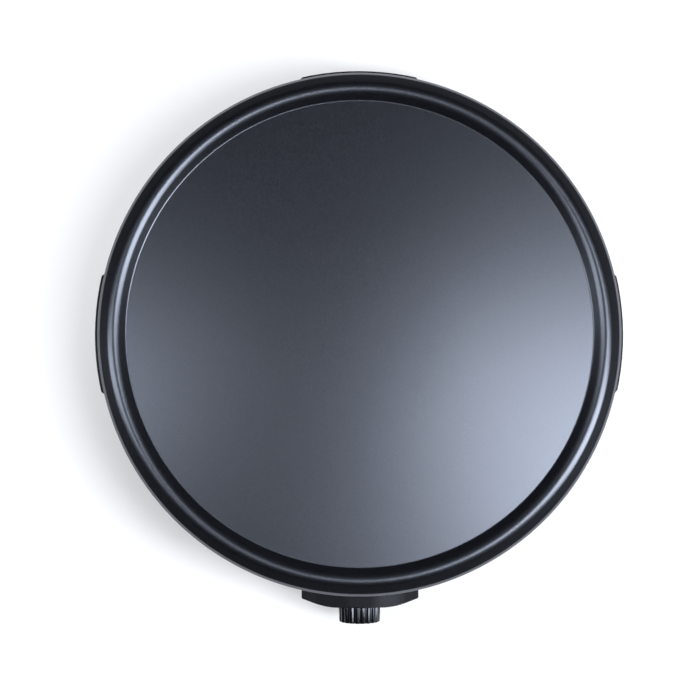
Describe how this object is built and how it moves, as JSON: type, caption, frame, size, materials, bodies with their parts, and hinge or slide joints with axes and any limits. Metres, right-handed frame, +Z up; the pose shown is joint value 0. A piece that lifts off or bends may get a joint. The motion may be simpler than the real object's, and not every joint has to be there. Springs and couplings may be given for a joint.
{
  "type": "electric crepe maker",
  "caption": "Round cast crepe plate with a raised rim on a low moulded base, set by one fluted thermostat knob on a front control housing.",
  "frame": {"origin": "on the table, under the middle of the whole footprint from the knob's end to the rear grip; the plate's axis stands 9 mm behind it", "axes": "+Z up out of the cooking surface, -Y towards the knob and the user, +X to the user's right"},
  "size_m": [0.3436, 0.3616, 0.072],
  "materials": {
    "plate_coating": "fine-grained non-stick coating on cast aluminium",
    "element_sheath": "annealed sheath",
    "plated_steel": "zinc plated",
    "ceramic": "unglazed",
    "shell_plastic": "fine spark texture",
    "panel_plastic": "satin",
    "knob_plastic": "semi-gloss",
    "rubber": "matte",
    "brass": "bright",
    "contact_silver": "polished",
    "copper": "drawn",
    "fuse_body": "glass-fibre sleeve",
    "red_lens": "clear moulded",
    "green_lens": "clear moulded",
    "lamp_glass": "glass bulb",
    "terminal_plastic": "natural"
  },
  "bodies": {
    "body": {"cooking_plate": "plate_coating", "heating_element": "element_sheath", "element_pins": "plated_steel", "element_collars": "ceramic", "heat_shield": "plated_steel", "plate_spacers": "plated_steel", "plate_screws": "plated_steel", "base_shell": "shell_plastic", "bottom_cover": "shell_plastic", "cover_screws": "plated_steel", "rubber_feet": "rubber", "control_panel": "panel_plastic", "panel_screws": "plated_steel", "thermostat_bracket": "plated_steel", "thermostat_body": "ceramic", "moving_blade": "brass", "fixed_blade": "brass", "contacts": "contact_silver", "expansion_capsule": "plated_steel", "capillary_tube": "copper", "sensing_bulb": "copper", "bulb_clip": "plated_steel", "fuse_clip": "plated_steel", "clip_screws": "plated_steel", "thermal_fuse": "fuse_body", "power_lamp_lens": "red_lens", "ready_lamp_lens": "green_lens", "neon_lamps": "lamp_glass", "terminal_block": "terminal_plastic", "terminal_screws": "plated_steel", "block_screws": "plated_steel", "earth_tag": "brass", "cord_bush": "knob_plastic", "bush_nut": "knob_plastic"},
    "knob": {"knob": "knob_plastic", "knob_spring": "plated_steel", "thermostat_shaft": "plated_steel", "shaft_circlip": "plated_steel"},
    "nut": {"adjusting_nut": "brass"}
  },
  "joints": [
    {"name": "knob_turn", "type": "hinge", "parent": "body", "child": "knob", "pos_m": [0, -0.17, 0.031], "axis": [0, 1, 0], "range_deg": [0, 270]},
    {"name": "nut_slide", "type": "slide", "parent": "body", "child": "nut", "axis": [0, -1, 0], "range_m": [0, 0.0015]}
  ],
  "couplings": [
    {"joint": "nut_slide", "follows": "knob_turn", "m_per_rad": 0.00031831}
  ]
}
